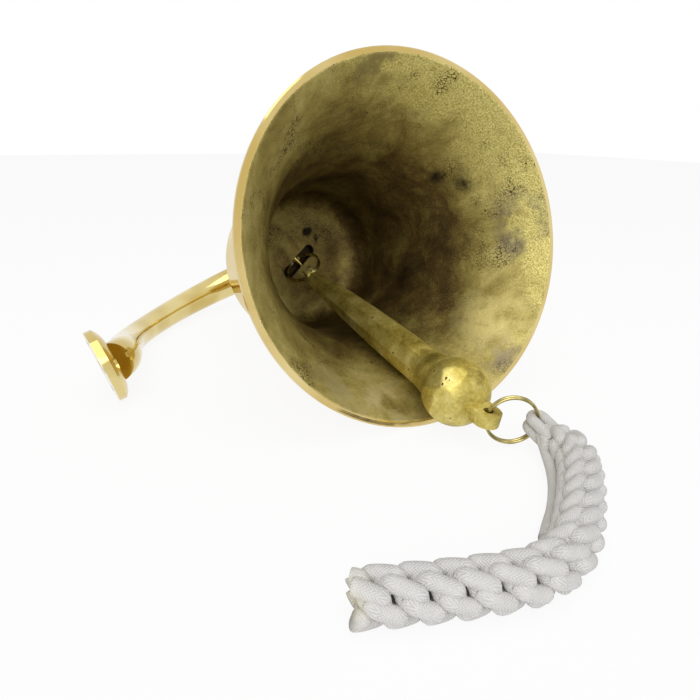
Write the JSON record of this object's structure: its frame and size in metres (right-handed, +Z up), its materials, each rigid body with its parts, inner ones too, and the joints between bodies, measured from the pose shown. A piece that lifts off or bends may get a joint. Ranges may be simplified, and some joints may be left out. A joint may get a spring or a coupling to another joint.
{
  "type": "wall-bracket bell",
  "caption": "Brass bell on a swan-neck wall bracket with round wall plate, hung clapper, split rings and braided lanyard.",
  "frame": {"origin": "centre of the bell's, bracket's, rings' and clapper's bounding box in X and Y, on the table it lies on (lowest point of the rim) in Z; the cord is left out", "axes": "+Z up from the table, +Y the horizontal direction from the mouth to the crown, +X away from the wall plate"},
  "size_m": [0.2636, 0.4135, 0.194],
  "materials": {
    "cast_brass": "polished outside, rough sand cast inside",
    "turned_brass": "polished",
    "brass_wire": "drawn wire, lightly tarnished",
    "steel": "ground",
    "cotton_cord": "braided cotton"
  },
  "bodies": {
    "bell": {"bell_body": "cast_brass", "crown_pin": "steel", "crown_stud": "turned_brass", "crown_washer": "turned_brass", "bracket_arm": "cast_brass", "wall_plate": "turned_brass", "plate_screw": "turned_brass"},
    "ring_top": {"hanging_ring": "brass_wire"},
    "striker": {"clapper": "cast_brass"},
    "ring_low": {"pull_ring": "brass_wire"},
    "cord": {"lanyard": "cotton_cord"}
  },
  "joints": [
    {"name": "ring_hang", "type": "hinge", "parent": "bell", "child": "ring_top", "pos_m": [0.03183, 0.0696, 0.05527], "axis": [-0.7634, -0.1639, -0.6248], "range_deg": [0, 18]},
    {"name": "clapper_swing", "type": "hinge", "parent": "ring_top", "child": "striker", "pos_m": [0.03291, 0.0477, 0.04902], "axis": [-0.8119, 0.0598, -0.5807], "range_deg": [0, 26]},
    {"name": "pull_ring_swing", "type": "hinge", "parent": "striker", "child": "ring_low", "pos_m": [0.04083, -0.14867, 0.01773], "axis": [0.0897, -0.1532, 0.9841], "range_deg": [-45, 0]},
    {"name": "lanyard_swing", "type": "hinge", "parent": "ring_low", "child": "cord", "pos_m": [0.06398, -0.16072, 0.01375], "axis": [0, 0, 1], "range_deg": [-15, 15]}
  ]
}
